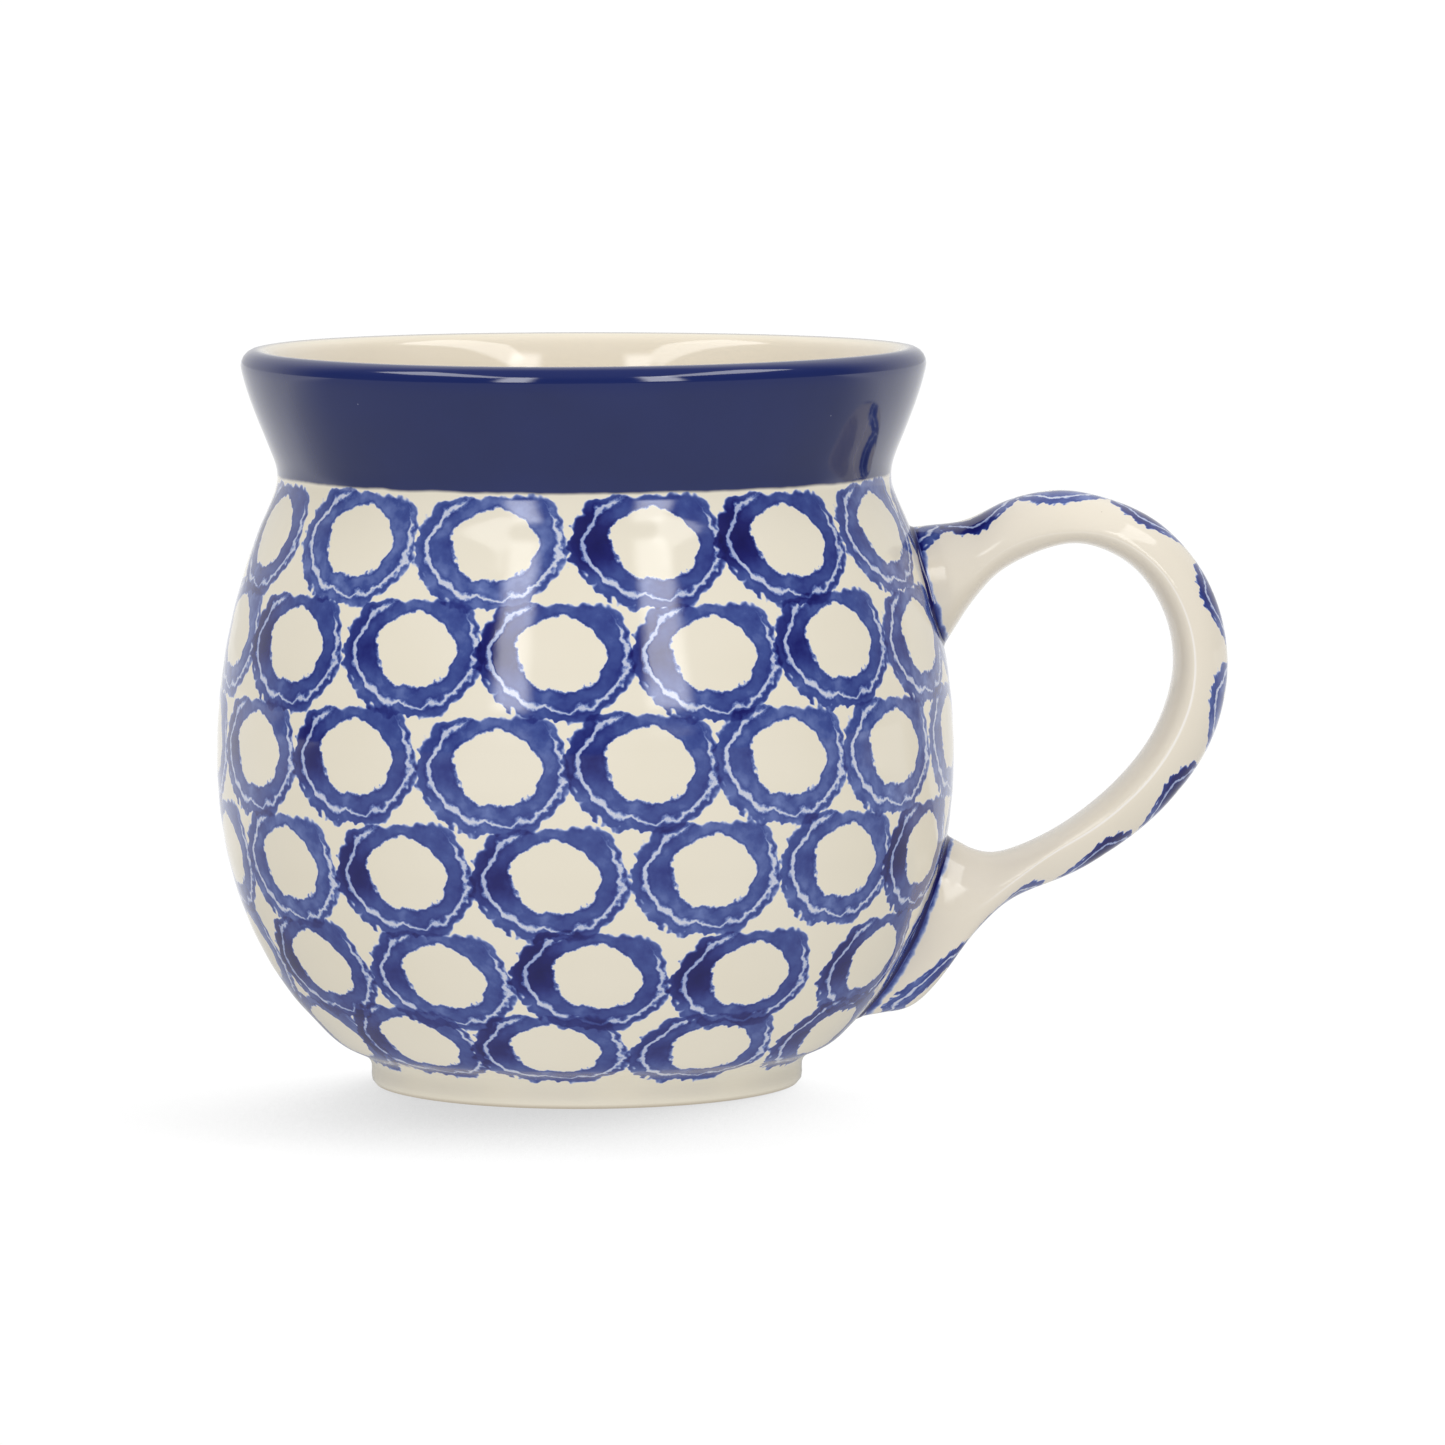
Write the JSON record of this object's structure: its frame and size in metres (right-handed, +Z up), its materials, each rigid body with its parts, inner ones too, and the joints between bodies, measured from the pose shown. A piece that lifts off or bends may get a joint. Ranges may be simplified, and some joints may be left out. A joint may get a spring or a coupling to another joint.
{
  "type": "mug",
  "caption": "Barrel-shaped stoneware mug with a waisted neck, a flared collar, a low foot ring and a pulled strap handle for drinking hot drinks.",
  "frame": {"origin": "centre of the foot ring, on the plane that the mug stands on", "axes": "+Z up the mug's turning axis, +X from that axis through the middle of the handle"},
  "size_m": [0.1236, 0.09, 0.09],
  "materials": {
    "cream_glaze": "gloss",
    "handle_glaze": "gloss",
    "cobalt_slip": "gloss"
  },
  "bodies": {
    "root": {"mug_body": "cream_glaze", "handle": "handle_glaze", "upper_slip_joint": "cobalt_slip", "lower_slip_joint": "cobalt_slip"}
  },
  "joints": []
}
